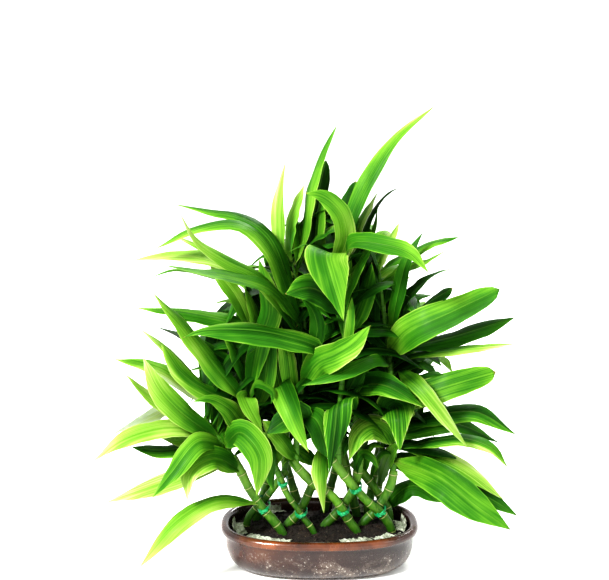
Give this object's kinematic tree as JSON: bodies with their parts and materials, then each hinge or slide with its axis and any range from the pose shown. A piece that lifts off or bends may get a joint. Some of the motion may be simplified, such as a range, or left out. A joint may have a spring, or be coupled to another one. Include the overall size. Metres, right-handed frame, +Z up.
{
  "type": "potted lucky bamboo plant",
  "caption": "Potted lucky bamboo: criss-crossed tied green canes with long arching strap leaves, standing in soil in a low oval glazed ceramic dish.",
  "frame": {"origin": "centre of the flat underside of the dish", "axes": "+Z up, +X to the viewer's right along the dish's length, -Y towards the viewer"},
  "size_m": [0.414, 0.322, 0.4586],
  "materials": {
    "glaze": "dusty brown glaze",
    "earth": "dark moist soil",
    "liner": "crumpled matte",
    "wire": "plastic-coated wire",
    "foliage": "waxy leaf"
  },
  "bodies": {
    "root": {"pot": "glaze", "soil": "earth", "liner_scrap_1": "liner", "liner_scrap_2": "liner", "liner_scrap_3": "liner", "liner_scrap_4": "liner", "liner_scrap_5": "liner", "liner_scrap_6": "liner", "liner_scrap_7": "liner", "tie_1": "wire", "tie_2": "wire", "tie_3": "wire", "tie_4": "wire", "tie_5": "wire", "tie_6": "wire", "stalk_left_low": "foliage", "stalk_left_mid": "foliage", "stalk_middle_left": "foliage", "stalk_middle": "foliage", "stalk_right_top": "foliage", "stalk_right_mid": "foliage", "stalk_right_low": "foliage", "stalk_middle_right": "foliage", "stalk_middle_low": "foliage", "stalk_left_back": "foliage", "stalk_back_1": "foliage", "stalk_back_2": "foliage", "stalk_back_3": "foliage", "stalk_back_4": "foliage", "stalk_back_5": "foliage"}
  },
  "joints": []
}
